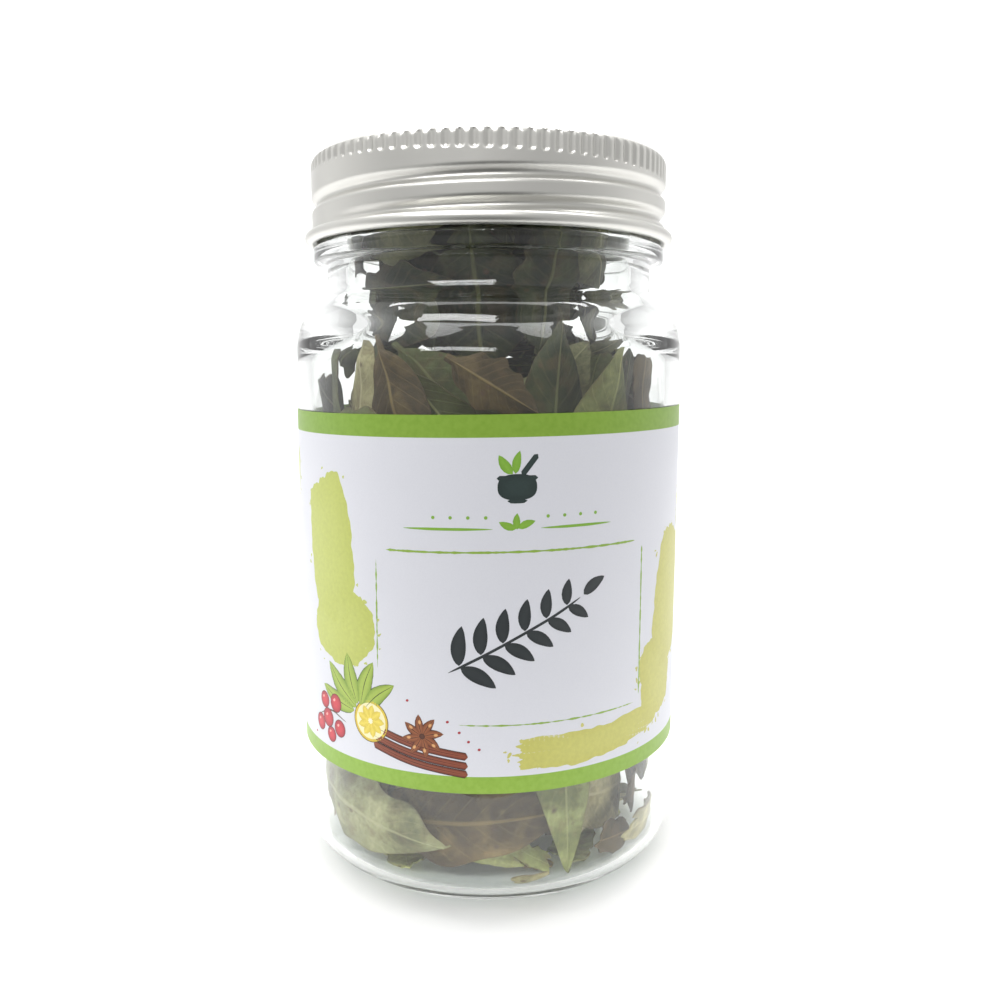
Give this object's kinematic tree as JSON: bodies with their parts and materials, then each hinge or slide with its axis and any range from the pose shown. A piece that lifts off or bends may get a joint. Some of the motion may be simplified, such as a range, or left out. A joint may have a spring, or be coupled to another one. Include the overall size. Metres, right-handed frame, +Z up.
{
  "type": "jar of dried curry leaves",
  "caption": "Clear glass jar with a knurled aluminium screw cap and a wrap-round paper label, filled with loose dried curry leaves.",
  "frame": {"origin": "centre of the jar's base, on the surface it stands on", "axes": "+Z up along the jar and cap's axis; the front of the label faces -Y; +X is to the right of it"},
  "size_m": [0.0664, 0.0664, 0.1189],
  "materials": {
    "clear_glass": "clear moulded glass, polished",
    "label_paper": "white label paper with green bands and a printed kitchen motif, satin",
    "cap_aluminium": "satin aluminium sheet with a fine turned grain",
    "liner_foam": "off-white foam sealing disc, matte",
    "leaf_dark": "dried leaf, dark green, matte",
    "leaf_grey": "dried leaf, grey-green underside, matte",
    "leaf_olive": "dried leaf, pale olive, matte",
    "leaf_brown": "dried leaf, browned, matte",
    "leaf_tan": "dried leaf, bleached tan, matte"
  },
  "bodies": {
    "jar": {"jar": "clear_glass", "label": "label_paper", "leaf_01": "leaf_olive", "leaf_02": "leaf_brown", "leaf_03": "leaf_grey", "leaf_04": "leaf_tan", "leaf_05": "leaf_dark", "leaf_06": "leaf_tan", "leaf_07": "leaf_grey", "leaf_08": "leaf_dark", "leaf_09": "leaf_brown", "leaf_10": "leaf_brown", "leaf_11": "leaf_tan", "leaf_12": "leaf_olive", "leaf_13": "leaf_olive", "leaf_14": "leaf_dark", "leaf_15": "leaf_olive", "leaf_16": "leaf_dark", "leaf_17": "leaf_tan", "leaf_18": "leaf_dark", "leaf_19": "leaf_dark", "leaf_20": "leaf_dark", "leaf_21": "leaf_olive", "leaf_22": "leaf_olive", "leaf_23": "leaf_grey", "leaf_24": "leaf_grey", "leaf_25": "leaf_dark", "leaf_26": "leaf_grey", "leaf_27": "leaf_brown", "leaf_28": "leaf_grey", "leaf_29": "leaf_grey", "leaf_30": "leaf_grey", "leaf_31": "leaf_olive", "leaf_32": "leaf_olive", "leaf_33": "leaf_dark", "leaf_34": "leaf_brown", "leaf_35": "leaf_dark", "leaf_36": "leaf_grey", "leaf_37": "leaf_dark", "leaf_38": "leaf_brown", "leaf_39": "leaf_grey", "leaf_40": "leaf_dark", "leaf_41": "leaf_grey", "leaf_42": "leaf_olive", "leaf_43": "leaf_tan", "leaf_44": "leaf_dark", "leaf_45": "leaf_dark", "leaf_46": "leaf_brown", "leaf_47": "leaf_brown", "leaf_48": "leaf_olive"},
    "liner": {"cap_liner": "liner_foam"},
    "cap": {"cap": "cap_aluminium"}
  },
  "joints": [
    {"name": "cap_lift", "type": "slide", "parent": "jar", "child": "liner", "axis": [0, 0, 1], "range_m": [0, 0.0053]},
    {"name": "cap_turn", "type": "hinge", "parent": "liner", "child": "cap", "pos_m": [0, 0, 0.11], "axis": [0, 0, 1], "range_deg": [0, 450]}
  ],
  "couplings": [
    {"joint": "cap_lift", "follows": "cap_turn", "m_per_rad": 0.00067376}
  ]
}
